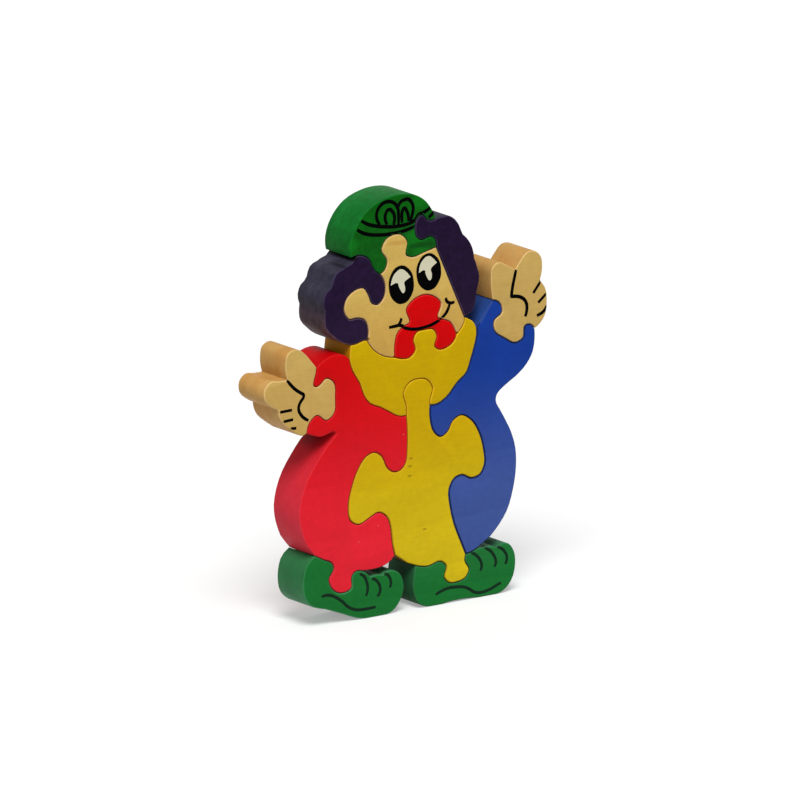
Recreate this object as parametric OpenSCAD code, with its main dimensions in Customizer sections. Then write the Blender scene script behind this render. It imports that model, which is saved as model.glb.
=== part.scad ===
// Standing clown puzzle: thirteen interlocking pieces sawn from one wooden board.
// The front faces -Y, left and right are as seen from the front, and the soles rest on Z = 0.

/* [Board] */
// Thickness of the board
board_t = 20; // [14:0.5:28]
// Width of the saw cut between two pieces
saw_gap = 0.35; // [0.3:0.05:0.8]
// How far the edges of each piece are sanded back
edge_ease = 0.4; // [0.3:0.1:1]

/* [Heights] */
// Floor to the ankles
foot_h = 22; // [20:0.5:26]
// Ankles to the throat
trunk_h = 70; // [62:1:84]
// Throat to the lips
beard_h = 25; // [22:0.5:30]
// Lips to the brow
face_h = 46; // [42:0.5:54]
// Brow to the crown of the cap
cap_h = 28.5; // [25:0.5:36]

/* [Widths] */
// Middle of the figure to the left side of the hair
left_hair_w = 45; // [41:0.5:54]
// Left side of the hair to the left hip
left_hip_w = 13.5; // [11:0.5:18]
// Left hip to the left fingertips
left_hand_w = 19; // [16:0.2:24]
// Middle of the figure to the right side of the hair
right_hair_w = 40; // [36:0.5:48]
// Right side of the hair to the right hip
right_hip_w = 20; // [16:0.5:25]
// Right hip to the right fingertips
right_hand_w = 18; // [15:0.1:22]

/* [Nose, the knob of the mouth in the face] */
// Neck of the nose
nose_neck = 16; // [13:0.2:16.4]
// Width of the nose
nose_w = 19; // [16.6:0.2:20]
// Height of the nose
nose_h = 11.8; // [10:0.2:13]

/* [Forehead, the knob of the face in the cap] */
// Neck of the forehead knob
brow_neck = 10.6; // [9:0.2:12]
// Width of the forehead knob
brow_w = 14.2; // [12.4:0.2:16]
// Height of the forehead knob
brow_h = 11.3; // [9.5:0.1:12.5]

/* [Curl, the knob of the right hair in the cap] */
// Neck of the curl
curl_neck = 7.4; // [6.6:0.2:8.4]
// Width of the curl
curl_w = 11.6; // [10:0.2:12.4]
// Length of the curl
curl_l = 7.8; // [6.8:0.2:9]

/* [Chin, the knob of the beard in the mouth] */
// Neck of the chin
chin_neck = 10.6; // [9:0.2:11.4]
// Width of the chin
chin_w = 12.8; // [11.6:0.2:14.4]
// Height of the chin
chin_h = 8.4; // [7:0.2:9.2]

/* [Collar, the knob of the belly in the beard] */
// Neck of the collar
collar_neck = 12.8; // [11:0.2:14]
// Width of the collar
collar_w = 16; // [14.2:0.2:18]
// Height of the collar
collar_h = 11.7; // [10:0.1:13]

/* [Wrists, the knobs of the hands in the sleeves] */
// Neck of the left wrist
left_wrist_neck = 13; // [11:0.2:14.4]
// Width of the left wrist's knob
left_wrist_w = 19.2; // [17:0.2:21]
// Length of the left wrist's knob
left_wrist_l = 10.2; // [9:0.1:12]
// Neck of the right wrist
right_wrist_neck = 15; // [13:0.2:16]
// Width of the right wrist's knob
right_wrist_w = 18.8; // [17:0.2:20.4]
// Length of the right wrist's knob
right_wrist_l = 9.4; // [8:0.1:10.4]

/* [Ankles, the knobs of the trunk in the feet] */
// Neck of the left ankle
left_ankle_neck = 11; // [9.6:0.2:12]
// Width of the left ankle's knob
left_ankle_w = 13.6; // [12.4:0.2:15]
// Length of the left ankle's knob
left_ankle_l = 9.4; // [8:0.1:10.4]
// Neck of the right ankle
right_ankle_neck = 10.3; // [9:0.1:11.6]
// Width of the right ankle's knob
right_ankle_w = 13.8; // [12.4:0.2:15.4]
// Length of the right ankle's knob
right_ankle_l = 8.9; // [7.8:0.1:10]

/* [Hidden] */

// Colours of the stains
green = [0.13, 0.44, 0.2];
purple = [0.36, 0.27, 0.55];
yellow = [0.8, 0.68, 0.1];
red = [0.86, 0.13, 0.18];
blue = [0.24, 0.33, 0.6];
bare_wood = [0.8, 0.68, 0.42];

// Furthest that a straight facet strays from the true curve
facet_sag = 0.06;
// Furthest that a sharp corner moves when an outline is drawn in, in widths of the inset
corner_limit = 1.6;
// How far back from its tip a blunted corner is cut
corner_cut = 0.9;
// Shares of a knob's length at which it is widest and its round top begins
widest_at = 0.56;
top_at = 0.92;

// The pattern is drawn on these stations, each paired with where the sizes put it
across = [
    [-77.5, -left_hair_w - left_hip_w - left_hand_w],
    [-58.5, -left_hair_w - left_hip_w],
    [-45, -left_hair_w],
    [0, 0],
    [40, right_hair_w],
    [60, right_hair_w + right_hip_w],
    [78, right_hair_w + right_hip_w + right_hand_w]
];
up = [
    [0, 0],
    [22, foot_h],
    [92, foot_h + trunk_h],
    [117, foot_h + trunk_h + beard_h],
    [163, foot_h + trunk_h + beard_h + face_h],
    [191.5, foot_h + trunk_h + beard_h + face_h + cap_h]
];

// A point of the pattern at its real place: the soles rest on the floor after the saw's half cut
function place(p) = [lookup(p.x, across), lookup(p.y, up) - saw_gap / 2];
function places(list) = [for (p = list) place(p)];

function unit(v) = v / norm(v);
function backwards(list) = [for (i = [len(list) - 1:-1:0]) list[i]];
function without_last(list) = [for (i = [0:len(list) - 2]) list[i]];
function angle_between(a, b) = acos(max(-1, min(1, unit(a) * unit(b))));

// Direction of the curve at point i, weighted to the nearer neighbour, and at the two ends
function inner_slope(p, i) =
    let (before = p[i] - p[i - 1], after = p[i + 1] - p[i], b = norm(before), a = norm(after))
    (before * a / b + after * b / a) / (a + b);
function slope(p, i) =
    let (last = len(p) - 1)
    last == 1 ? unit(p[1] - p[0]) :
    i == 0 ? 2 * unit(p[1] - p[0]) - inner_slope(p, 1) :
    i == last ? 2 * unit(p[last] - p[last - 1]) - inner_slope(p, last - 1) :
    inner_slope(p, i);

// Smooth curve through a list of points, with more facets where it turns more
function smooth(p) = concat(
    [for (i = [0:len(p) - 2])
        let (chord = p[i + 1] - p[i], from = slope(p, i), to = slope(p, i + 1), l = norm(chord))
        let (turn = (angle_between(from, chord) + angle_between(chord, to)) * PI / 180)
        let (steps = max(1, ceil(sqrt(l * turn / (8 * facet_sag)))))
        for (k = [0:steps - 1])
            let (t = k / steps, s = 1 - t)
            p[i] * s * s * (1 + 2 * t) + p[i + 1] * t * t * (3 - 2 * t)
                + from * l * t * s * s - to * l * t * t * s],
    [p[len(p) - 1]]
);

// Smooth stretches that meet at corners, each starting where the one before it ends
function chain(stretches) = concat(
    [for (i = [0:len(stretches) - 1]) each without_last(smooth(stretches[i]))],
    [let (last = stretches[len(stretches) - 1]) last[len(last) - 1]]
);

// Points of a knob that stands on its neck at a place, from the left side of its aim to the right
function knob(at, aim, neck, wide, top, long, lean) =
    let (along = [cos(aim), sin(aim)], left = [-sin(aim), cos(aim)], foot = place(at))
    let (half = [[0, neck / 2], [long * widest_at, wide / 2], [long * top_at, top / 2]])
    concat(
        [for (h = half) foot + along * h.x + left * (h.y + lean * sign(h.x))],
        [foot + along * long + left * lean],
        [for (h = backwards(half)) foot + along * h.x - left * (h.y - lean * sign(h.x))]
    );

// Round lobes between notches, each given as a notch and how far the lobe after it stands out
function lobes(notches) =
    [for (i = [0:len(notches) - 2])
        let (a = place(notches[i]), b = place(notches[i + 1]), out = unit([b.y - a.y, a.x - b.x]))
        [a, (a + b) / 2 + out * notches[i].z, b]];

// Places where three edges meet
cap_corner_left = [-29.9, 165.6];
cap_corner_right = [16.2, 177];
brow_left = [-14, 156];
brow_right = [16.5, 164];
cheek_left = [-21.2, 127];
cheek_right = [32, 129.8];
hair_end_left = [-30.3, 126.1];
lip_left = [-6, 117];
lip_right = [27.7, 122.6];
beard_corner_left = [-31, 120.4];
beard_corner_right = [38.6, 124];
throat_left = [0.3, 89.6];
throat_right = [13.2, 92.5];
wrist_left_top = [-48.6, 118.8];
wrist_left_under = [-54, 89.4];
wrist_right_top = [47.3, 135.4];
wrist_right_under = [70.8, 118.8];
heel_left = [-51.8, 33.9];
instep_left = [-25.5, 22.6];
crotch = [-6, 27.5];
heel_right = [5, 20.2];
ankle_right = [32.8, 21.2];
instep_right = [39, 22.9];

// Seams of the head
cap_to_left_hair = smooth(places([
    cap_corner_left, [-25, 166.3], [-20, 163.8], [-17.3, 158.6], brow_left
]));
cap_to_face = smooth(concat(
    places([brow_left, [-11, 158.4]]),
    knob([-4.9, 161.8], 98, brow_neck, brow_w, 8, brow_h, 0.5),
    places([[3, 161.4], [10, 162.6], brow_right])
));
cap_to_right_hair = smooth(concat(
    places([brow_right, [15.8, 167.8], [14.2, 169.2]]),
    knob([12.7, 173], 180, curl_neck, curl_w, 7, curl_l, -1.2),
    places([[14.2, 176.6], cap_corner_right])
));
left_hair_to_face = smooth(places([
    cheek_left, [-20.5, 132], [-22.5, 136.5], [-26.5, 138], [-31, 138], [-33.7, 142.5], [-32, 148],
    [-27.5, 150.8], [-23, 151], [-20.6, 147.8], [-18.5, 143.4], [-15.5, 142.4], [-12.3, 145],
    [-11.2, 149.5], brow_left
]));
left_hair_to_beard = smooth(places([hair_end_left, [-26.5, 126.3], [-23, 127.2], cheek_left]));
right_hair_to_face = places([cheek_right, brow_right]);
face_to_beard_left = smooth(places([cheek_left, [-17, 121.6], [-12, 118.5], lip_left]));
face_to_beard_right = smooth(places([lip_right, [30, 124.8], [31.8, 127.3], cheek_right]));
face_to_mouth = smooth(concat(
    places([lip_left, [-6.2, 122.5], [-4.3, 128.4], [-0.5, 130.7]]),
    knob([9.7, 131.5], 90, nose_neck, nose_w, 9, nose_h, 0),
    places([[20, 130.6], [24, 129], [26.6, 125.3], lip_right])
));
mouth_to_beard = smooth(concat(
    places([lip_left, [-2, 115.8], [2, 115.8]]),
    knob([10.5, 118.8], 90, chin_neck, chin_w, 9.6, chin_h, 0),
    places([[18, 117.1], [22, 117.3], [26, 119.5], lip_right])
));

// Seams of the trunk
beard_to_left_body = smooth(places([
    beard_corner_left, [-29, 114], [-25.3, 108.3], [-22.8, 102], [-19.5, 97.9], [-14, 95.5],
    [-8, 92], [-4, 89.9], throat_left
]));
beard_to_belly = smooth(concat(
    [place(throat_left)],
    knob([6.6, 93.7], 90, collar_neck, collar_w, 9.4, collar_h, 0),
    [place(throat_right)]
));
beard_to_right_body = smooth(places([
    throat_right, [17, 92.4], [22, 94.7], [28, 100.6], [33.3, 104.7], [35.2, 109.5], [37.5, 116],
    [38.7, 121], beard_corner_right
]));
left_body_to_belly = smooth(places([
    crotch, [-7.5, 32.5], [-8.3, 39.5], [-10.5, 45], [-15, 47.6], [-20, 45.8], [-26, 43.6],
    [-30.5, 46.3], [-31.6, 52], [-29.5, 61.5], [-26, 69.2], [-21.5, 74.3], [-17, 75.3],
    [-13, 72.7], [-10.5, 67.7], [-7.5, 65.1], [-3.5, 64.9], [-0.3, 67.7], [0.7, 74], [0.8, 82],
    throat_left
]));
belly_to_right_body = smooth(places([
    ankle_right, [30, 27.5], [26.4, 36], [24.1, 45], [23.6, 52.5], [26.5, 57], [30.5, 58],
    [36, 55.7], [40.5, 56.7], [43, 61], [42.5, 68], [39.8, 76.5], [35.5, 82.5], [30, 85.3],
    [25.7, 83.4], [23, 79], [19, 77], [15.3, 79.8], [13.3, 85.5], throat_right
]));

// Seams of the hands and feet
left_hand_to_body = smooth(concat(
    places([wrist_left_top, [-49.2, 115.4], [-50.3, 112], [-50, 110.3]]),
    knob([-48.7, 103.4], 0, left_wrist_neck, left_wrist_w, 14.4, left_wrist_l, 0),
    places([[-51.6, 95.2], wrist_left_under])
));
right_hand_to_body = smooth(concat(
    places([wrist_right_under, [67, 121.5]]),
    knob([59, 125.1], -122, right_wrist_neck, right_wrist_w, 14, right_wrist_l, 0),
    places([[51.8, 133], wrist_right_top])
));
left_foot_to_body = smooth(concat(
    places([instep_left, [-28, 22.3]]),
    knob([-34.4, 23.3], -116, left_ankle_neck, left_ankle_w, 6.6, left_ankle_l, 0.8),
    places([[-40.3, 28.1], [-45, 30.5], heel_left])
));
right_foot_to_belly = smooth(concat(
    [place(ankle_right)],
    knob([27.2, 18], -84, right_ankle_neck, right_ankle_w, 8.6, right_ankle_l, 0.1),
    places([[19.3, 19.9], [12, 18.8], heel_right])
));
right_foot_to_body = smooth(places([ankle_right, [36, 21.7], instep_right]));

// Free edges of the head
cap_edge = smooth(places([
    cap_corner_right, [16, 179], [14.7, 181], [11.3, 185.6], [5, 189.6], [-3, 191.1], [-11, 190.4],
    [-20.2, 187], [-27.4, 179.6], [-30.3, 172.1], cap_corner_left
]));
left_hair_edge = chain(lobes([
    [-29.9, 165.6, 0], [-30.8, 163.8, 1.1], [-41, 155.4, 2.3], [-44.6, 143.2, 2],
    [-40.7, 132, 0.9], [-30.3, 126.1, 0]
]));
right_hair_edge = chain(concat(
    [places([
        cheek_right, [34.2, 130.8], [36.4, 132.1], [38.1, 135.3], [38.8, 140.3], [40.4, 147.3],
        [39.3, 151.4], [37.6, 156]
    ])],
    lobes([[37.6, 156, 1.5], [31.3, 167.8, 0]]),
    [places([
        [31.3, 167.8], [30.4, 169.7], [29.2, 172.4], [27.5, 174.7], [25.4, 176.5], [23, 177.5],
        [20.7, 177.5], cap_corner_right
    ])]
));
beard_edge_left = places([hair_end_left, beard_corner_left]);
beard_edge_right = smooth(places([beard_corner_right, [37.3, 126.7], [35, 128.5], cheek_right]));

// Free edges of the trunk
left_shoulder = smooth(places([
    beard_corner_left, [-34, 122.5], [-39, 123.2], [-44.6, 121.7], wrist_left_top
]));
left_side = smooth(places([
    wrist_left_under, [-50, 87.5], [-46, 86.6], [-42, 87.5], [-39.3, 88], [-38.4, 87.1],
    [-39.3, 85.9], [-43.9, 81.6], [-49, 75.5], [-53.9, 68.5], [-57.2, 60.7], [-58.5, 53.5],
    [-57.9, 46], [-55.2, 39], heel_left
]));
left_leg = smooth(places([instep_left, [-21, 22], [-15, 22.8], [-10, 24.8], crotch]));
belly_edge = smooth(places([crotch, [-3, 25.5], [1, 22.7], heel_right]));
right_side = chain([
    places([instep_right, [42, 24.5], [46.3, 27]]),
    places([
        [46.3, 27], [51.5, 32], [55.6, 37.5], [59, 46.8], [60.7, 57], [60.3, 66.2], [57.2, 75.3],
        [52, 84.4], [49.5, 89.4], [50, 91.5], [53.4, 94.5], [60.4, 98.4], [66.5, 103.3], [69.9, 108.7],
        [70.9, 114.4], wrist_right_under
    ])
]);
right_shoulder = smooth(places([wrist_right_top, [43.5, 131], beard_corner_right]));

// Free edges of the hands and feet
left_hand_edge = chain([
    places([
        wrist_left_top, [-52, 122.8], [-56.4, 127.3], [-60.9, 128.9], [-64.8, 127],
        [-65.8, 122.6], [-64.8, 115.5]
    ]),
    places([
        [-64.8, 115.5], [-69, 115.6], [-73.6, 116], [-77.1, 112.9], [-77, 107.8], [-73, 104],
        [-69.8, 102.3]
    ]),
    places([
        [-69.8, 102.3], [-69.3, 99.4], [-67.4, 95.9], [-64, 93], [-60.4, 90.4], [-57, 88.6],
        wrist_left_under
    ])
]);
right_hand_edge = chain([
    places([wrist_right_under, [73.9, 120.8], [76.8, 124.9], [77.5, 130], [76.6, 136.7], [73.6, 140.5]]),
    places([
        [73.6, 140.5], [74.9, 146], [74.2, 151.4], [71.2, 154.3], [66, 154.5], [62.8, 151.5],
        [59.7, 147.6]
    ]),
    places([
        [59.7, 147.6], [54.5, 150.8], [50.3, 152.3], [47.2, 150.3], [46.3, 145], [46.7, 139],
        wrist_right_top
    ])
]);
left_foot_edge = chain(concat(
    [
        places([
            heel_left, [-54.9, 28.5], [-56.4, 21], [-55, 13.6], [-50.6, 9.3], [-44, 7],
            [-35, 4.1], [-27, 0.9], [-22, 0]
        ]),
        places([[-22, 0], [-12.5, 0]]),
        places([
            [-12.5, 0], [-7.4, 1], [-2.8, 5.7], [-1.1, 11.5], [-2.6, 17], [-6.7, 20.5], [-10.3, 20.9],
            [-13, 19.3]
        ])
    ],
    lobes([[-13, 19.3, 0.5], [-19.5, 19, 0.7], [-25.5, 22.6, 0]])
));
right_foot_edge = chain(concat(
    [
        places([heel_right, [4, 15], [3.9, 8.5], [6.8, 2.5], [13, 0]]),
        places([[13, 0], [20, 0]]),
        places([[20, 0], [26, 0.6], [34, 0.5], [40, 0]]),
        places([[40, 0], [48, 0]]),
        places([
            [48, 0], [53, 0.8], [57.9, 4.9], [60.3, 12.3], [59.5, 18.7], [56.4, 22.6], [52.5, 23.2],
            [49.8, 21.8]
        ])
    ],
    lobes([[49.8, 21.8, 0.7], [42.8, 22.6, 0.4], [39, 22.9, 0]])
));

// Outlines of the pieces, each anticlockwise from the front and open at its last point
function outline(edges) = [for (e = edges) each without_last(e)];

// An outline with one corner cut off, as where the saw turns and leaves a small gap
function blunted(loop, corner) =
    let (n = len(loop), at = place(corner))
    [for (i = [0:n - 1])
        let (p = loop[i], back = loop[(i + n - 1) % n] - p, on = loop[(i + 1) % n] - p)
        each norm(p - at) > facet_sag ? [p] : [
            p + unit(back) * min(corner_cut, 0.6 * norm(back)),
            p + unit(on) * min(corner_cut, 0.6 * norm(on))
        ]];

cap_outline = outline([cap_to_left_hair, cap_to_face, cap_to_right_hair, cap_edge]);
left_hair_outline = blunted(outline([
    left_hair_edge, left_hair_to_beard, left_hair_to_face, backwards(cap_to_left_hair)
]), cheek_left);
right_hair_outline = outline([
    backwards(right_hair_to_face), right_hair_edge, backwards(cap_to_right_hair)
]);
face_outline = blunted(blunted(outline([
    backwards(left_hair_to_face), face_to_beard_left, face_to_mouth, face_to_beard_right,
    right_hair_to_face, backwards(cap_to_face)
]), lip_left), lip_right);
nose_mouth_outline = outline([mouth_to_beard, backwards(face_to_mouth)]);
beard_outline = outline([
    beard_edge_left, beard_to_left_body, beard_to_belly, beard_to_right_body, beard_edge_right,
    backwards(face_to_beard_right), backwards(mouth_to_beard), backwards(face_to_beard_left),
    backwards(left_hair_to_beard)
]);
belly_outline = outline([
    backwards(left_body_to_belly), belly_edge, backwards(right_foot_to_belly), belly_to_right_body,
    backwards(beard_to_belly)
]);
left_body_outline = outline([
    left_shoulder, left_hand_to_body, left_side, backwards(left_foot_to_body), left_leg,
    left_body_to_belly, backwards(beard_to_left_body)
]);
right_body_outline = outline([
    backwards(belly_to_right_body), right_foot_to_body, right_side, right_hand_to_body,
    right_shoulder, backwards(beard_to_right_body)
]);
left_hand_outline = outline([left_hand_edge, backwards(left_hand_to_body)]);
right_hand_outline = outline([right_hand_edge, backwards(right_hand_to_body)]);
left_foot_outline = outline([left_foot_edge, left_foot_to_body]);
right_foot_outline = outline([
    right_foot_edge, backwards(right_foot_to_body), right_foot_to_belly
]);

// An outline drawn in by a distance, with its sharp corners held to the corner limit
function inset(loop, d) =
    let (n = len(loop))
    [for (i = [0:n - 1])
        let (a = unit(loop[i] - loop[(i + n - 1) % n]), b = unit(loop[(i + 1) % n] - loop[i]))
        let (sum = [-a.y - b.y, a.x + b.x], move = sum / (1 + a * b))
        loop[i] + d * move * min(1, corner_limit / norm(move))];

// Triangles that fill an outline, cut off one corner at a time
function left_of(a, b, c) = cross(b - a, c - a);
function covers(a, b, c, p) = left_of(a, b, p) >= 0 && left_of(b, c, p) >= 0 && left_of(c, a, p) >= 0;
function others(rest, ear) = [for (k = rest) if (k != ear[0] && k != ear[1] && k != ear[2]) k];
function is_ear(pts, rest, ear) =
    let (a = pts[ear[0]], b = pts[ear[1]], c = pts[ear[2]])
    left_of(a, b, c) > 0 && len([for (k = others(rest, ear)) if (covers(a, b, c, pts[k])) k]) == 0;
function fill(pts, rest, i = 0, done = []) =
    let (n = len(rest), ear = [rest[i % n], rest[(i + 1) % n], rest[(i + 2) % n]])
    n == 3 ? concat(done, [ear]) :
    !is_ear(pts, rest, ear) ? fill(pts, rest, i + 1, done) :
    fill(pts, [for (k = rest) if (k != ear[1]) k], i + 1, concat(done, [ear]));

// A slab that draws in from the sawn wall to the flat of a face, over the eased edge
module eased(wall, flat) {
    n = len(wall);
    corners = [for (i = [0:n - 1]) i];
    polyhedron(
        points = concat([for (p = wall) [p.x, p.y, 0]], [for (p = flat) [p.x, p.y, edge_ease]]),
        faces = concat(
            fill(wall, corners),
            [for (a = corners) let (b = (a + 1) % n) each [[a, a + n, b + n], [a, b + n, b]]],
            [for (t = fill(flat, corners)) [for (v = backwards(t)) v + n]]
        )
    );
}

// A piece sawn from the board along its outline, with its front and back edges eased
module sawn(loop) {
    wall = inset(loop, saw_gap / 2);
    flat = inset(wall, edge_ease);
    straight = board_t - 2 * edge_ease;
    rotate([90, 0, 0]) {
        linear_extrude(straight, center = true) polygon(wall);
        for (side = [0, 1]) mirror([0, 0, side]) translate([0, 0, straight / 2]) eased(wall, flat);
    }
}

module cap() { color(green) sawn(cap_outline); }
module left_hair() { color(purple) sawn(left_hair_outline); }
module right_hair() { color(purple) sawn(right_hair_outline); }
module face() { color(bare_wood) sawn(face_outline); }
module nose_mouth() { color(red) sawn(nose_mouth_outline); }
module beard() { color(yellow) sawn(beard_outline); }
module belly() { color(yellow) sawn(belly_outline); }
module left_body() { color(red) sawn(left_body_outline); }
module right_body() { color(blue) sawn(right_body_outline); }
module left_hand() { color(bare_wood) sawn(left_hand_outline); }
module right_hand() { color(bare_wood) sawn(right_hand_outline); }
module left_foot() { color(green) sawn(left_foot_outline); }
module right_foot() { color(green) sawn(right_foot_outline); }

cap();
left_hair();
right_hair();
face();
nose_mouth();
beard();
belly();
left_body();
right_body();
left_hand();
right_hand();
left_foot();
right_foot();
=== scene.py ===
import math

import bmesh
import bpy
from mathutils import Matrix, Vector
from mathutils.bvhtree import BVHTree


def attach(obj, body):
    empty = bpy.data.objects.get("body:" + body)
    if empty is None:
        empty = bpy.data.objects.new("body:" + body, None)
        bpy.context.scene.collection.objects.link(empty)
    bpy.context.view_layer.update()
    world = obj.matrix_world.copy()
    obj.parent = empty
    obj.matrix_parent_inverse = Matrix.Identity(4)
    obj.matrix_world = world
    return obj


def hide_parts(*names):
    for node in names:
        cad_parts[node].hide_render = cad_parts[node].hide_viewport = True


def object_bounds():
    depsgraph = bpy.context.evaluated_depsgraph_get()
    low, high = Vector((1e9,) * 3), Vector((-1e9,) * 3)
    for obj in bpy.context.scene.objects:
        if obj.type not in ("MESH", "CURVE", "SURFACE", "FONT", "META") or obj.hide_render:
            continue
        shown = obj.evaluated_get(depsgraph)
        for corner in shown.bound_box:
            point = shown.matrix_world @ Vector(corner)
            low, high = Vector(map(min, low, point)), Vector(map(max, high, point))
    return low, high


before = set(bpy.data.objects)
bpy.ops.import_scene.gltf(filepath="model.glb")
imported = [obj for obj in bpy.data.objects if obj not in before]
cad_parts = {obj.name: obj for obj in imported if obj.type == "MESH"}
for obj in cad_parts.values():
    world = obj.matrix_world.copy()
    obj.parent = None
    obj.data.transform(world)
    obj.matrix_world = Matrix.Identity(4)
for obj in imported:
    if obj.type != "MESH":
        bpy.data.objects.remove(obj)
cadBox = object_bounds()
mm = 0.001
white = (1, 1, 1, 1)
frontY = cadBox[0].y
middle = (cadBox[0] + cadBox[1]) / 2
# what is drawn on the front is measured in mm from the middle of the figure and from the floor
drawnFrom = Vector((middle.x, frontY, cadBox[0].z))
print("frame:", len(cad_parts), "pieces of the board")


def srgb(red, green, blue):
    shares = [level / 255 for level in (red, green, blue)]
    linear = [share / 12.92 if share <= 0.04045 else ((share + 0.055) / 1.055) ** 2.4 for share in shares]
    return (*linear, 1.0)


def addObject(name, data):
    item = bpy.data.objects.new(name, data)
    bpy.context.collection.objects.link(item)
    return item


def meshFrom(name, shape):
    mesh = bpy.data.meshes.new(name)
    shape.to_mesh(mesh)
    shape.free()
    return mesh


nodeGrid = {"columns": 9, "across": 190, "down": 330}


def addNode(tree, kind, inputs=None, **settings):
    node = tree.nodes.new(kind)
    row, column = divmod(len(tree.nodes), nodeGrid["columns"])
    node.location = (column * nodeGrid["across"], -row * nodeGrid["down"])
    for name, value in settings.items():
        setattr(node, name, value)
    for socket, value in (inputs or {}).items():
        if isinstance(value, bpy.types.NodeSocket):
            tree.links.new(value, node.inputs[socket])
        else:
            node.inputs[socket].default_value = value
    return node


def maths(tree, operation, *values):
    return addNode(tree, "ShaderNodeMath", dict(enumerate(values)), operation=operation).outputs[0]


def vectors(tree, operation, *values):
    return addNode(tree, "ShaderNodeVectorMath", dict(enumerate(values)), operation=operation).outputs[0]


def scaled(tree, vector, factor):
    return addNode(tree, "ShaderNodeVectorMath", {0: vector, "Scale": factor}, operation="SCALE").outputs[0]


def lengthOf(tree, vector):
    return addNode(tree, "ShaderNodeVectorMath", {0: vector}, operation="LENGTH").outputs["Value"]


def along(tree, vector, axis):
    return addNode(tree, "ShaderNodeSeparateXYZ", {0: vector}).outputs[axis]


# a range in the looks below is what a ramp takes: the ends that it rises between, then what it gives there
def ramp(tree, value, low, high, start=0.0, end=1.0):
    inputs = {"Value": value, "From Min": low, "From Max": high, "To Min": start, "To Max": end}
    return addNode(tree, "ShaderNodeMapRange", inputs, interpolation_type="SMOOTHSTEP").outputs[0]


def blendValues(tree, share, first, second):
    return addNode(tree, "ShaderNodeMix", {0: share, 2: first, 3: second}, data_type="FLOAT").outputs[0]


def blendColours(tree, share, first, second):
    return addNode(tree, "ShaderNodeMix", {0: share, 6: first, 7: second}, data_type="RGBA").outputs[2]


def placeInMm(tree):
    return scaled(tree, addNode(tree, "ShaderNodeTexCoord").outputs["Object"], 1 / mm)


def newGroup(name, inputs, outputs):
    group = bpy.data.node_groups.new(name, "ShaderNodeTree")
    kinds = {"colour": "NodeSocketColor", "value": "NodeSocketFloat"}
    for direction, sockets in (("INPUT", inputs), ("OUTPUT", outputs)):
        for socket, kind in sockets.items():
            group.interface.new_socket(socket, in_out=direction, socket_type=kinds[kind])
    return group, addNode(group, "NodeGroupInput").outputs, addNode(group, "NodeGroupOutput").inputs


def placeGroup(tree, group, inputs=None):
    return addNode(tree, "ShaderNodeGroup", inputs, node_tree=group).outputs


# the grain runs along X and the growth rings lie round a pith behind the board
# places and gaps are in mm, and the size of a noise is its cycles per mm
grainLook = {
    "pith": (0, 150, 92), "ringGap": 6.5, "ringEnd": 0.9, "wander": 3.5,
    "drift": {"size": (0.011, 0.05, 0.05), "detail": 3, "roughness": 0.55},
    "blotches": {"size": (0.03, 0.06, 0.06), "detail": 3, "roughness": 0.55},
    "bands": {"size": (0.05, 0.1, 0.05), "detail": 3, "roughness": 0.55},
    "fibre": {"size": (0.06, 2.0, 2.0), "detail": 4, "roughness": 0.6},
    "pores": {"size": (0.25, 3.6, 3.6), "detail": 1, "roughness": 0.55},
    "specks": {"size": (0.3, 0.3, 0.3), "detail": 4, "roughness": 0.65},
    "ringFade": (0.35, 0.65, 0.3, 1.0), "bandRange": (0.36, 0.66), "poreRange": (0.66, 0.76),
    "blotchTone": (0.3, 0.7, -0.6, 0.6), "speckTone": (0.3, 0.7, -0.8, 0.8),
}


def boardGrainGroup():
    outputs = {name: "value" for name in ("Rings", "Bands", "Fibre", "Pores", "Clouds")}
    tree, _, out = newGroup("boardGrain", {}, outputs)
    place = placeInMm(tree)

    def noise(name):
        look = grainLook[name]
        inputs = {"Vector": vectors(tree, "MULTIPLY", place, look["size"]), "Scale": 1}
        inputs |= {"Detail": look["detail"], "Roughness": look["roughness"]}
        return addNode(tree, "ShaderNodeTexNoise", inputs).outputs

    drift = vectors(tree, "SUBTRACT", noise("drift")["Color"], (0.5, 0.5, 0.5))  # noise lies round 0.5
    bent = vectors(tree, "ADD", place, scaled(tree, drift, 2 * grainLook["wander"]))
    across = vectors(tree, "MULTIPLY", vectors(tree, "SUBTRACT", bent, grainLook["pith"]), (0, 1, 1))
    phase = maths(tree, "FRACT", maths(tree, "DIVIDE", lengthOf(tree, across), grainLook["ringGap"]))
    darkening = maths(tree, "POWER", phase, 2)
    lateWood = maths(tree, "MULTIPLY", darkening, ramp(tree, phase, 1, grainLook["ringEnd"]))
    blotches = noise("blotches")["Fac"]
    rings = maths(tree, "MULTIPLY", lateWood, ramp(tree, blotches, *grainLook["ringFade"]))
    blotchTone = ramp(tree, blotches, *grainLook["blotchTone"])
    speckTone = ramp(tree, noise("specks")["Fac"], *grainLook["speckTone"])
    tree.links.new(rings, out["Rings"])
    tree.links.new(ramp(tree, noise("bands")["Fac"], *grainLook["bandRange"]), out["Bands"])
    tree.links.new(noise("fibre")["Fac"], out["Fibre"])
    tree.links.new(ramp(tree, noise("pores")["Fac"], *grainLook["poreRange"]), out["Pores"])
    tree.links.new(maths(tree, "ADD", blotchTone, speckTone), out["Clouds"])
    return tree


# how squarely a surface faces front or back, to count as the drawn face or as its edge
sawnLook = {"face": (0.86, 0.99), "edge": (0.2, 0.6)}


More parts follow.
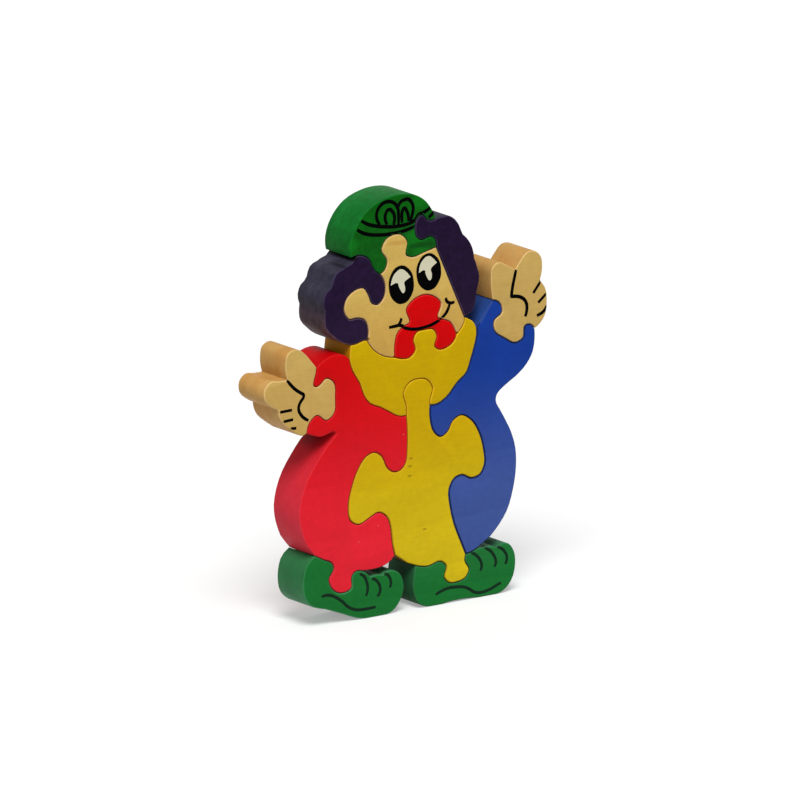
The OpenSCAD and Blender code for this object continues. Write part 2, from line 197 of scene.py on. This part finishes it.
def sawnFacesGroup():
    inputs = {"Fade From": "value", "Fade To": "value"}
    tree, given, out = newGroup("sawnFaces", inputs, {"Face": "value", "Edge": "value", "Low": "value"})
    normal = addNode(tree, "ShaderNodeTexCoord").outputs["Normal"]
    turned = along(tree, vectors(tree, "ABSOLUTE", normal), "Y")
    face = ramp(tree, turned, *sawnLook["face"])
    height = along(tree, placeInMm(tree), "Z")
    tree.links.new(face, out["Face"])
    tree.links.new(maths(tree, "SUBTRACT", ramp(tree, turned, *sawnLook["edge"]), face), out["Edge"])
    tree.links.new(ramp(tree, height, given["Fade From"], given["Fade To"]), out["Low"])
    return tree


# each stain fades from its upper to its lower colour, on the drawn faces and on the sawn sides,
# between two heights in mm; most lower colours are a painted reflection of the pale floor, lighter lower
# down, and on the belly's underside and the right shoe's side they are painted shade, darker
stainParts = {
    "face": "Face Stain", "faceLow": "Low Face Stain With Painted Light", "side": "Side Stain", "sideLow": "Low Side Stain With Painted Light",
    "edge": "Edge Wear And Shade", "grain": "Grain Stain",
}
stainShares = {
    "fadeFrom": "Fade From", "fadeTo": "Fade To", "mottle": "Mottle",
    "edgeShare": "Edge Share", "grainShare": "Grain Share", "sideGrain": "Side Grain",
}
# what all the stains share; reliefDepth is in mm, and spotCore is how much of a spot has its full share
woodLook = {
    "fibreTone": (0.25, 0.75, 0.95, 1.05), "edgeFibre": (0.2, 0.7, 0.6, 1.0),
    "roughness": (0.2, 0.8, 0.42, 0.58), "poreShare": 0.4, "sideRings": 0.2,
    "relief": 0.25, "reliefDepth": 0.05, "sheen": 0.05, "spotCore": 0.3,
}


def stainedWoodGroup(grain, faces):
    inputs = {name: "colour" for name in stainParts.values()}
    inputs |= {name: "value" for name in stainShares.values()}
    outputs = {"Color": "colour", "Roughness": "value", "Height": "value"}
    tree, given, out = newGroup("stainedWood", inputs, outputs)
    wood = placeGroup(tree, grain)
    sawn = placeGroup(tree, faces, {"Fade From": given["Fade From"], "Fade To": given["Fade To"]})
    front = blendColours(tree, sawn["Low"], given["Face Stain"], given["Low Face Stain With Painted Light"])
    side = blendColours(tree, sawn["Low"], given["Side Stain"], given["Low Side Stain With Painted Light"])
    fibreTone = ramp(tree, wood["Fibre"], *woodLook["fibreTone"])
    tone = maths(tree, "MULTIPLY_ADD", wood["Clouds"], given["Mottle"], fibreTone)
    toned = scaled(tree, blendColours(tree, sawn["Face"], side, front), tone)
    faceFigure = maths(tree, "MULTIPLY_ADD", wood["Pores"], woodLook["poreShare"], wood["Rings"])
    sideFigure = maths(tree, "MULTIPLY_ADD", wood["Rings"], woodLook["sideRings"], wood["Bands"])
    onFace = maths(tree, "MULTIPLY", faceFigure, given["Grain Share"])
    onSide = maths(tree, "MULTIPLY", sideFigure, given["Side Grain"])
    figure = blendValues(tree, sawn["Face"], onSide, onFace)
    grained = blendColours(tree, figure, toned, given["Grain Stain"])
    # the edge colour is wear on eased edges, lighter where the stain is rubbed off, and on the blue body
    # painted shade of the saw cuts, darker
    edgeWearAndShade = maths(tree, "MULTIPLY", sawn["Edge"], ramp(tree, wood["Fibre"], *woodLook["edgeFibre"]))
    edgeWearAndShade = maths(tree, "MULTIPLY", edgeWearAndShade, given["Edge Share"])
    tree.links.new(blendColours(tree, edgeWearAndShade, grained, given["Edge Wear And Shade"]), out["Color"])
    tree.links.new(ramp(tree, wood["Fibre"], *woodLook["roughness"]), out["Roughness"])
    tree.links.new(maths(tree, "SUBTRACT", wood["Fibre"], wood["Pores"]), out["Height"])
    return tree


boardGrain = boardGrainGroup()
stainedWood = stainedWoodGroup(boardGrain, sawnFacesGroup())


def newMaterial(name):
    material = bpy.data.materials.new(name)
    material.use_nodes = True
    tree = material.node_tree
    return material, tree, tree.nodes["Principled BSDF"].inputs


# soft spots of another colour: flecks, chips and a rubbed edge in the wood, and painted shade under the
# sleeve, under the cap, in a notch and where hair, face and beard meet; a place is in mm to the right,
# behind the front and up
def addFlecksAndShade(tree, colour, flecksAndShade):
    place = vectors(tree, "SUBTRACT", placeInMm(tree), drawnFrom / mm)
    for spot in flecksAndShade["places"]:
        away = vectors(tree, "DIVIDE", vectors(tree, "SUBTRACT", place, spot), flecksAndShade["size"])
        share = ramp(tree, lengthOf(tree, away), 1, woodLook["spotCore"], 0, flecksAndShade["share"])
        colour = blendColours(tree, share, colour, srgb(*flecksAndShade["colour"]))
    return colour


def stain(node, look):
    material, tree, shader = newMaterial(node + "Stain")
    inputs = {socket: srgb(*look[part]) for part, socket in stainParts.items()}
    inputs |= {socket: look[share] for share, socket in stainShares.items()}
    wood = placeGroup(tree, stainedWood, inputs)
    colour = wood["Color"]
    for flecksAndShade in look.get("flecksAndShade", []):
        colour = addFlecksAndShade(tree, colour, flecksAndShade)
    relief = {"Height": wood["Height"], "Strength": woodLook["relief"]}
    relief["Distance"] = woodLook["reliefDepth"] * mm
    tree.links.new(colour, shader["Base Color"])
    tree.links.new(wood["Roughness"], shader["Roughness"])
    tree.links.new(addNode(tree, "ShaderNodeBump", relief).outputs[0], shader["Normal"])
    shader["Specular IOR Level"].default_value = woodLook["sheen"]
    return material


weldReach = 0.001 * mm
flatAngle = math.radians(0.2)


# a trim, in mm, shifts the outline round one place: the place, the reach round it, the shift right and up
def trimOutline(shape, trims):
    for (x, z), reach, (right, up) in trims:
        for vertex in shape.verts:
            away = vertex.co - drawnFrom - Vector((x, 0, z)) * mm
            near = max(0, 1 - math.hypot(away.x, away.z) / (reach * mm))
            vertex.co += Vector((right, 0, up)) * mm * near * near * (3 - 2 * near)


# stands for a solid whose sawn outline needs a trim
def trimmedCopy(node, look):
    shape = bmesh.new()
    shape.from_mesh(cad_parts[node].data)
    bmesh.ops.remove_doubles(shape, verts=shape.verts, dist=weldReach)
    bmesh.ops.dissolve_limit(shape, angle_limit=flatAngle, verts=shape.verts, edges=shape.edges)
    trimOutline(shape, look["trims"])
    mesh = meshFrom(node + "_trimmed", shape)
    piece = addObject(mesh.name, mesh)
    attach(piece, node)
    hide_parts(node)
    return piece


edgeLook = {"radius": 0.18, "segments": 3, "fromAngle": 25}


def softenEdges(piece):
    weld = piece.modifiers.new("weld", "WELD")
    weld.merge_threshold = weldReach
    flats = piece.modifiers.new("flats", "DECIMATE")
    flats.decimate_type = "DISSOLVE"
    flats.angle_limit = flatAngle
    bevel = piece.modifiers.new("easedEdge", "BEVEL")
    bevel.width = edgeLook["radius"] * mm
    bevel.segments = edgeLook["segments"]
    bevel.limit_method = "ANGLE"
    bevel.angle_limit = math.radians(edgeLook["fromAngle"])
    bevel.harden_normals = True
    piece.data.shade_smooth()


# what shows for each node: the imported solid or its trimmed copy
dressed = {}


def dress(node, look):
    piece = trimmedCopy(node, look) if "trims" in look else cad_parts[node]
    piece.data.materials.clear()
    piece.data.materials.append(stain(node, look))
    softenEdges(piece)
    dressed[node] = piece


capLook = {
    "face": (4, 90, 9), "faceLow": (8, 90, 16), "side": (10, 102, 36), "sideLow": (11, 94, 29),
    "fadeFrom": 188, "fadeTo": 170, "mottle": 0.2,
    "edge": (20, 112, 34), "edgeShare": 0.3, "grain": (2, 58, 4), "grainShare": 0.3, "sideGrain": 0.15,
    "flecksAndShade": [
        {"places": [(7, 0, 186), (8, 0, 162.5), (-31, 0, 171), (4, 0, 170)],
         "size": (7, 3, 5), "share": 0.5, "colour": (14, 122, 26)},
        {"places": [(6, 0, 166.3), (11, 0, 165.6)],
         "size": (7, 3, 1.8), "share": 0.5, "colour": (8, 58, 14)},
    ],
}
dress("cap", capLook)

hairLook = {
    "face": (32, 16, 47), "faceLow": (34, 18, 47), "side": (50, 48, 62), "sideLow": (104, 76, 76),
    "fadeFrom": 150, "fadeTo": 124, "mottle": 0.3,
    "edge": (66, 46, 92), "edgeShare": 0.35, "grain": (16, 8, 28), "grainShare": 0.4, "sideGrain": 0.35,
}
leftCurls = {
    "flecksAndShade": [
        # a painted shadow along the hair's top under the cap, then painted shade in the first notch of the
        # curls
        {"places": [(-28.5, 10, 165)], "size": (3.4, 40, 2), "share": 0.95, "colour": (2, 2, 4)},
        {"places": [(-33.8, 4, 162.5)], "size": (2, 16, 1.6), "share": 0.8, "colour": (6, 4, 10)},
    ],
    "trims": [
        ((-30, 165), 4, (1.5, -0.8)), ((-33.6, 162.2), 3, (0.4, -0.4)), ((-38, 159.3), 4, (-0.5, 0.6)),
        ((-42.2, 154.2), 3.5, (1.2, -0.3)), ((-43.6, 151.5), 5, (0.4, 0)), ((-44.5, 140), 6, (0.4, 0)),
    ],
    "slot": "purple_stain",
}
dress("left_hair", hairLook | leftCurls)
dress("right_hair", hairLook)

faceLook = {
    "face": (206, 173, 90), "faceLow": (202, 162, 80), "side": (198, 155, 91), "sideLow": (198, 155, 91),
    "fadeFrom": 150, "fadeTo": 125, "mottle": 0.05,
    "edge": (236, 208, 156), "edgeShare": 0.4,
    "grain": (186, 140, 66), "grainShare": 0.25, "sideGrain": 0.4,
    "flecksAndShade": [
        {"places": [(-7, 0, 169), (-2.5, 0, 168.6)],
         "size": (5, 3, 1.6), "share": 0.4, "colour": (186, 132, 62)},
        # painted shade in the gap where hair, face and beard meet
        {"places": [(-21, 0, 127.5)], "size": (1.2, 2, 1.1), "share": 0.9, "colour": (30, 18, 22)},
    ],
}
dress("face", faceLook)

mouthLook = {
    "face": (208, 0, 4), "faceLow": (206, 0, 4), "side": (190, 10, 22), "sideLow": (190, 10, 22),
    "fadeFrom": 140, "fadeTo": 120, "mottle": 0.05,
    "edge": (236, 60, 36), "edgeShare": 0.3, "grain": (170, 0, 4), "grainShare": 0.15, "sideGrain": 0.2,
}
dress("nose_mouth", mouthLook)

beardLook = {
    "face": (198, 164, 0), "faceLow": (198, 164, 0), "side": (185, 126, 12), "sideLow": (185, 126, 12),
    "fadeFrom": 125, "fadeTo": 95, "mottle": 0.04,
    "edge": (238, 206, 40), "edgeShare": 0.6, "grain": (172, 128, 0), "grainShare": 0.25, "sideGrain": 0.3,
}
dress("beard", beardLook)

# shared by neighbours, so that the saw cut between them stays even
lowerTrims = [
    ((-8, 25), 9, (0, -1.4)), ((-14, 22.5), 8, (0, -0.6)), ((0, 23.5), 6, (-0.4, -0.9)),
    ((-52.5, 34), 5, (2, -0.8)),
]

# the belly's sides darken low down: painted shade on its underside
bellyLook = {
    "face": (198, 162, 0), "faceLow": (212, 186, 22), "side": (185, 135, 12), "sideLow": (110, 84, 14),
    "fadeFrom": 100, "fadeTo": 20, "mottle": 0.05,
    "edge": (236, 196, 40), "edgeShare": 0.5, "grain": (176, 140, 8), "grainShare": 0.2, "sideGrain": 0.3,
    "flecksAndShade": [
        {"places": [(2.5, 0, 69.5), (2, 0, 66), (1.8, 0, 61.6), (10, 0, 36)],
         "size": (1.7, 2, 0.6), "share": 0.6, "colour": (96, 70, 16)},
    ],
    "trims": lowerTrims,
    "slot": "yellow_stain",
}
dress("belly", bellyLook)

# the red is lighter lower down: painted reflection of the pale floor
redLook = {
    "face": (205, 6, 10), "faceLow": (228, 36, 52), "side": (184, 2, 7), "sideLow": (208, 52, 68),
    "fadeFrom": 118, "fadeTo": 28, "mottle": 0.05,
    "edge": (232, 50, 52), "edgeShare": 0.25, "grain": (180, 4, 16), "grainShare": 0.15, "sideGrain": 0.2,
    "flecksAndShade": [
        {"places": [(-1.6, 0, 81), (-26.1, 0, 35.7), (-15.3, 0, 41.5)],
         "size": (0.5, 1, 0.4), "share": 0.4, "colour": (240, 150, 150)},
        # a painted shadow on the body's side under the left sleeve
        {"places": [(-44, 14, 86)], "size": (12, 13, 9), "share": 0.6, "colour": (84, 0, 6)},
    ],
    "trims": lowerTrims + [((-48, 32), 5, (0, -0.25)), ((-56, 43), 12, (0.5, 0))],
    "slot": "red_stain",
}
dress("left_body", redLook)

# the blue is lighter lower down, a painted reflection of the pale floor; its dark edge colour is painted
# shade in the saw cuts, and the light spots are a rubbed edge
blueLook = {
    "face": (20, 58, 148), "faceLow": (64, 86, 153), "side": (38, 70, 138), "sideLow": (48, 76, 140),
    "fadeFrom": 112, "fadeTo": 42, "mottle": 0.05,
    "edge": (8, 20, 66), "edgeShare": 0.9, "grain": (16, 36, 100), "grainShare": 0.2, "sideGrain": 0.25,
    "flecksAndShade": [
        {"places": [(40.6, 0, 126.5), (41.6, 0, 127.8), (42.6, 0, 129.2), (43.6, 0, 130.6), (44.6, 0, 132),
                    (45.6, 0, 133.3), (46.5, 0, 134.5)],
         "size": (1.4, 1, 1.6), "share": 0.22, "colour": (84, 118, 192)},
    ],
}
dress("right_body", blueLook)

handLook = {
    "face": (198, 165, 92), "faceLow": (198, 165, 92), "side": (190, 148, 85), "sideLow": (196, 156, 98),
    "fadeFrom": 112, "fadeTo": 92, "mottle": 0.05,
    "edge": (232, 208, 146), "edgeShare": 0.5, "grain": (176, 120, 54), "grainShare": 0.2, "sideGrain": 0.5,
}
dress("left_hand", handLook)
dress("right_hand", handLook)

# the shoes' sides are lighter low down: painted reflection of the pale floor
shoeLook = {
    "face": (24, 110, 46), "faceLow": (24, 110, 46), "side": (45, 108, 64), "sideLow": (80, 144, 103),
    "fadeFrom": 25, "fadeTo": 6, "mottle": 0.06,
    "edge": (54, 136, 76), "edgeShare": 0.35, "grain": (10, 76, 24), "grainShare": 0.2, "sideGrain": 0.25,
}
leftShoe = {"trims": lowerTrims + [((-44, 9), 9, (0, 0.6))], "slot": "green_stain"}
# the right shoe's side is darker low down: painted shade between the shoes
rightShoe = {"face": (32, 112, 53), "side": (48, 104, 70), "sideLow": (42, 90, 58)}
dress("left_foot", shoeLook | leftShoe)
dress("right_foot", shoeLook | rightShoe)
print("stains:", len(bpy.data.materials), "materials")

# along the fibres, paint lets a little of the colour under it through
paintLook = {"worn": (0.3, 0.75, 0.0, 0.5), "roughness": (0.2, 0.8, 0.4, 0.6)}


def paint(name, look):
    material, tree, shader = newMaterial(name)
    fibre = placeGroup(tree, boardGrain)["Fibre"]
    worn = ramp(tree, fibre, *paintLook["worn"])
    colour = blendColours(tree, worn, srgb(*look["colour"]), srgb(*look["under"]))
    tree.links.new(colour, shader["Base Color"])
    tree.links.new(ramp(tree, fibre, *paintLook["roughness"]), shader["Roughness"])
    shader["Specular IOR Level"].default_value = look["sheen"]
    return material


blackPen = paint("blackPen", {"colour": (2, 2, 3), "under": (8, 7, 8), "sheen": 0.01})
shoePen = paint("shoePen", {"colour": (24, 40, 32), "under": (26, 62, 36), "sheen": 0.01})
eyeWhite = paint("eyeWhite", {"colour": (212, 209, 182), "under": (198, 193, 164), "sheen": 0.05})


def asMesh(name, curve):
    holder = addObject(name + "Curve", curve)
    shown = holder.evaluated_get(bpy.context.evaluated_depsgraph_get())
    mesh = bpy.data.meshes.new_from_object(shown)
    bpy.data.objects.remove(holder)
    mesh.name = name
    return mesh


def addPiece(name, mesh, material, body):
    mesh.materials.clear()
    mesh.materials.append(material)
    mesh.shade_smooth()
    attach(addObject(name, mesh), body)


# a point with a third number is a corner
def drawSpline(curve, stroke):
    spline = curve.splines.new("BEZIER")
    spline.bezier_points.add(len(stroke) - 1)
    for point, (x, z, *sharp) in zip(spline.bezier_points, stroke):
        point.co = (drawnFrom.x + x * mm, 0, drawnFrom.z + z * mm)
        point.handle_left_type = point.handle_right_type = "VECTOR" if sharp else "AUTO"
    return spline


penLook = {"height": 0.06, "endWidth": 0.85, "roundness": 2, "steps": 8}


# presses a round line flat on the wood, with its back half in it
def layOnWood(mesh, body, halfWidth):
    wood = BVHTree.FromObject(dressed[body], bpy.context.evaluated_depsgraph_get())
    inwards = Vector((0, 1, 0))
    for vertex in mesh.vertices:
        x, depth, z = vertex.co
        place, normal = wood.ray_cast(Vector((x, 2 * frontY, z)), inwards)[:2]
        if place is None:
            place, normal = wood.find_nearest(Vector((x, frontY, z)))[:2]
        vertex.co = place - normal * (depth / halfWidth) * penLook["height"] * mm
    mesh.update()


def penLines(name, body, material, look):
    halfWidth = look["width"] / 2 * mm
    curve = bpy.data.curves.new(name, "CURVE")
    curve.dimensions = "3D"
    curve.bevel_depth = halfWidth
    curve.bevel_resolution = penLook["roundness"]
    curve.resolution_u = penLook["steps"]
    curve.use_fill_caps = True
    for stroke in look["strokes"]:
        points = drawSpline(curve, stroke).bezier_points
        points[0].radius = points[-1].radius = penLook["endWidth"]
    mesh = asMesh(name, curve)
    layOnWood(mesh, body, halfWidth)
    addPiece(name, mesh, material, body)


capLines = {
    "width": 1.75,
    "strokes": [
        [(-24.6, 181.7), (-21.1, 179.7), (-17, 178.3), (-12, 177.2), (-5, 176.4), (0, 176.6), (3, 177.1),
         (5, 178.2), (6.4, 179.9), (8.7, 180.5), (10.9, 181.2), (13, 182.3)],
        [(-26.9, 178), (-24, 176.2), (-20, 174.8), (-15, 173.9), (-10, 173.5), (-5, 173.5), (0, 174),
         (4.5, 175)],
        [(12.1, 177.9), (13.7, 179), (15, 180.1)],
        [(-14.6, 178.4), (-16.1, 181.3), (-16, 184.5), (-14, 187.2), (-10.5, 188.4), (-7, 187.4),
         (-4.9, 185), (-4.3, 181.5), (-4.3, 177.1)],
        [(-4.6, 185), (-3.4, 187), (-1.2, 187.9), (0.9, 187.9), (2.9, 186), (3.7, 183.6), (3.1, 180.3),
         (2.3, 177.6)],
        [(-10.7, 178), (-11.6, 180.9), (-11.1, 183.4), (-9.5, 184.7), (-7.7, 183.6), (-6.5, 181),
         (-6.6, 178.8), (-7, 177.4)],
        [(-2.3, 177.6), (-2.5, 181), (-2, 183.4), (-1.1, 184.1), (0, 182.9), (1, 180.5), (1.2, 177.8)],
    ],
}
penLines("cap_pen_lines", "cap", blackPen, capLines)

smileEnds = {
    "width": 1.6,
    "strokes": [
        [(-9.5, 131), (-6, 131.1), (-4, 131.2), (-2.3, 130.7), (-1.1, 130)],
        [(-2.8, 134.3), (-3.2, 132.8), (-4.5, 131.3)],
        [(18.5, 130.7), (20.6, 132), (22.7, 134.5), (23.7, 137)],
        [(21.5, 140), (22, 138.5), (23.8, 137.3), (26.3, 137.3)],
    ],
}
penLines("smile_ends", "face", blackPen, smileEnds)

smile = {
    "width": 1.6,
    "strokes": [
        [(-2.5, 130.6), (-0.6, 129.5), (1.4, 128.8), (4.4, 128.2), (8, 128.1), (12, 128.5), (16, 129.5),
         (19.6, 131.2)],
    ],
}
penLines("smile", "nose_mouth", blackPen, smile)

leftCreases = {
    "width": 1.6,
    "strokes": [
        [(-65, 115.2), (-63, 112.8), (-60, 110), (-57.5, 108.3), (-56, 107.2), (-56.2, 106), (-57.5, 104.5),
         (-58.6, 102.5), (-58.6, 100.5), (-57.4, 98.3), (-55.4, 96.4), (-53.4, 95.2)],
        [(-69.7, 101.2), (-62.3, 101.3)],
        [(-67.6, 96.6), (-61.7, 96.9)],
        [(-63.1, 92.9), (-60, 92.7)],
    ],
}
penLines("left_hand_creases", "left_hand", blackPen, leftCreases)

rightCreases = {
    "width": 1.7,
    "strokes": [
        [(60.1, 147.3), (59.3, 144), (58.3, 140), (57.7, 136.5), (57.6, 135.3, 1), (60, 135), (62.5, 134.3),
         (64.5, 133), (65.8, 131), (66.1, 129), (65.9, 127), (65.2, 125)],
        [(74.1, 140.4), (69.6, 135.1)],
        [(77, 134), (72.3, 130.3)],
        [(77.3, 128.4), (75.2, 125.9), (71.6, 124.4)],
    ],
}
penLines("right_hand_creases", "right_hand", blackPen, rightCreases)

leftShoeLines = {
    "width": 1.45,
    "strokes": [
        [(-25.5, 21), (-23, 19.3), (-21.8, 17), (-21.2, 14.5), (-21.3, 12.5), (-22, 10.3)],
        [(-18.8, 17.8), (-17, 17), (-15.5, 15.5), (-14.5, 13.5), (-14.4, 11.5), (-15, 10), (-16, 9.3)],
        [(-12, 19), (-10.3, 18.2), (-9, 16.5), (-8.5, 14.5), (-8.7, 13), (-9.2, 12.2)],
        [(-46.3, 13.8), (-44, 14), (-41.5, 13.6), (-39, 12.5), (-35.3, 10), (-32, 7), (-28, 5), (-25, 4.5),
         (-22, 4.4), (-16.8, 4.5)],
    ],
}
penLines("left_shoe_lines", "left_foot", shoePen, leftShoeLines)

rightShoeLines = {
    "width": 1.45,
    "strokes": [
        [(35.5, 21.2), (37, 20.6), (38.7, 19.3), (40.3, 17.5), (41.2, 15.5), (41.3, 13.8), (40.7, 12.2)],
        [(42.8, 22.6), (44.5, 21.6), (46.5, 20.2), (48, 18.2), (49, 16), (49.1, 14.3), (48.3, 12.8)],
        [(50, 21.8), (52, 20.8), (53.8, 19.2), (55, 17.2), (55.2, 15.5), (54.8, 14), (54.3, 13.2)],
        [(16, 5), (18, 5.8), (21, 6.6), (24, 7), (27, 6.8), (30, 6.5), (32.5, 5.8), (34.5, 4.8),
         (36.5, 3.4), (38.5, 2.5), (41, 2.2), (44, 2.5), (47, 3.2), (49.5, 4.2), (52, 5)],
    ],
}
penLines("right_shoe_lines", "right_foot", shoePen, rightShoeLines)
print("pen lines drawn")

eyePaint = {"black": 0.06, "white": 0.16, "roundedEdge": 0.03, "steps": 8, "ovalPoints": 8}


def paintPatch(name, body, material, outline, thick):
    curve = bpy.data.curves.new(name, "CURVE")
    curve.dimensions = "2D"
    curve.fill_mode = "BOTH"
    curve.extrude = thick / 2 * mm
    curve.bevel_depth = eyePaint["roundedEdge"] * mm
    curve.resolution_u = eyePaint["steps"]
    spline = drawSpline(curve, outline)
    spline.use_cyclic_u = True
    for point in spline.bezier_points:
        point.co = (point.co.x, point.co.z, 0)
    mesh = asMesh(name, curve)
    for vertex in mesh.vertices:
        x, z, height = vertex.co
        vertex.co = (x, frontY - height, z)
    mesh.update()
    addPiece(name, mesh, material, body)


def eyeOval(look):
    tilt = Matrix.Rotation(math.radians(look["lean"]), 2)
    wide, high = look["half"]
    turns = [math.tau * step / eyePaint["ovalPoints"] for step in range(eyePaint["ovalPoints"])]
    oval = [tilt @ Vector((wide * math.cos(turn), high * math.sin(turn))) for turn in turns]
    return [tuple(Vector(look["centre"]) + place) for place in oval]


leftEye = {
    "centre": (-2.8, 149.5), "half": (6.8, 8.8), "lean": 7,
    "white": [(-8.6, 150, 1), (-7.5, 153.5), (-5.5, 155.7), (-3, 156.6), (-0.5, 155.3), (2.2, 152.4, 1),
              (0, 151.3), (-1.2, 150.5), (-0.8, 148), (-1, 146.2), (-1.8, 145.6), (-3, 146.8), (-4.2, 149),
              (-4.8, 150.5)],
}
rightEye = {
    "centre": (12.2, 153.2), "half": (6.7, 8.5), "lean": 7,
    "white": [(6.8, 153.5, 1), (7.3, 156.5), (9, 159), (12, 160.4), (14.5, 159), (16.6, 156.8, 1),
              (14.5, 155.6), (13.3, 154.3), (13.8, 152), (13.6, 150), (12.7, 149.3), (11.3, 150.8),
              (10.4, 152.8), (10, 154.2)],
}
for side, eye in (("left", leftEye), ("right", rightEye)):
    paintPatch(side + "_eye", "face", blackPen, eyeOval(eye), eyePaint["black"])
    paintPatch(side + "_eye_white", "face", eyeWhite, eye["white"], eyePaint["white"])
print("eyes painted")


# azimuth turns from the front to the right and elevation rises from the floor, in degrees
def directionTo(look):
    turn = math.radians(look["azimuth"])
    lift = math.radians(look["elevation"])
    return Vector((math.sin(turn) * math.cos(lift), -math.cos(turn) * math.cos(lift), math.sin(lift)))


def lookAlong(item, direction):
    item.rotation_euler = direction.to_track_quat("-Z", "Y").to_euler()


# at the photograph's angle, far off with a long lens; across is the width seen and aim is from the middle
# of the front, both in mm, and farthest is in metres
cameraLook = {
    "azimuth": -36, "elevation": 14.3, "lens": 1000, "across": 353.8, "aim": (-3.5, 1.7), "farthest": 50,
}


def addCamera():
    camera = addObject("camera", bpy.data.cameras.new("camera"))
    camera.data.lens = cameraLook["lens"]
    camera.data.clip_end = cameraLook["farthest"]
    back = directionTo(cameraLook)
    distance = cameraLook["across"] * mm * cameraLook["lens"] / camera.data.sensor_width
    right, up = cameraLook["aim"]
    target = Vector((middle.x + right * mm, frontY, middle.z + up * mm))
    camera.location = target + back * distance
    lookAlong(camera, -back)
    bpy.context.scene.camera = camera


# floorSize is in metres, and floorDrop is in mm under the soles
studioLook = {
    "floorSize": 30, "floorDrop": 0.05, "floorColour": (208, 208, 208), "floorRoughness": 0.9,
    "floorGlow": 0.32, "sky": 0.4,
    "key": {"azimuth": -36, "elevation": 57, "strength": 2.78, "softness": 28},
}


def seenDirectly(tree):
    ray = addNode(tree, "ShaderNodeLightPath").outputs
    seen = maths(tree, "MAXIMUM", ray["Is Camera Ray"], ray["Is Glossy Ray"])
    return maths(tree, "MAXIMUM", seen, ray["Is Transmission Ray"])


def addFloor():
    sheet = bmesh.new()
    bmesh.ops.create_grid(sheet, x_segments=1, y_segments=1, size=studioLook["floorSize"] / 2)
    bmesh.ops.translate(sheet, verts=sheet.verts, vec=(0, 0, -studioLook["floorDrop"] * mm))
    floor = addObject("floor", meshFrom("floor", sheet))
    material, tree, shader = newMaterial("floorPaper")
    shader["Base Color"].default_value = srgb(*studioLook["floorColour"])
    shader["Roughness"].default_value = studioLook["floorRoughness"]
    shader["Specular IOR Level"].default_value = 0
    shader["Emission Color"].default_value = white
    glow = maths(tree, "MULTIPLY", seenDirectly(tree), studioLook["floorGlow"])
    tree.links.new(glow, shader["Emission Strength"])
    floor.data.materials.append(material)


def addSky():
    world = bpy.data.worlds.new("sky")
    world.use_nodes = True
    bpy.context.scene.world = world
    tree = world.node_tree
    background = tree.nodes["Background"].inputs
    background["Color"].default_value = white
    tree.links.new(ramp(tree, seenDirectly(tree), 0, 1, studioLook["sky"], 1), background["Strength"])


def addKey():
    look = studioLook["key"]
    key = addObject("key", bpy.data.lights.new("key", "SUN"))
    key.data.energy = look["strength"]
    key.data.angle = math.radians(look["softness"])
    lookAlong(key, -directionTo(look))


addCamera()
addFloor()
addSky()
addKey()
bpy.context.scene.view_settings.view_transform = "Standard"
print("studio ready")
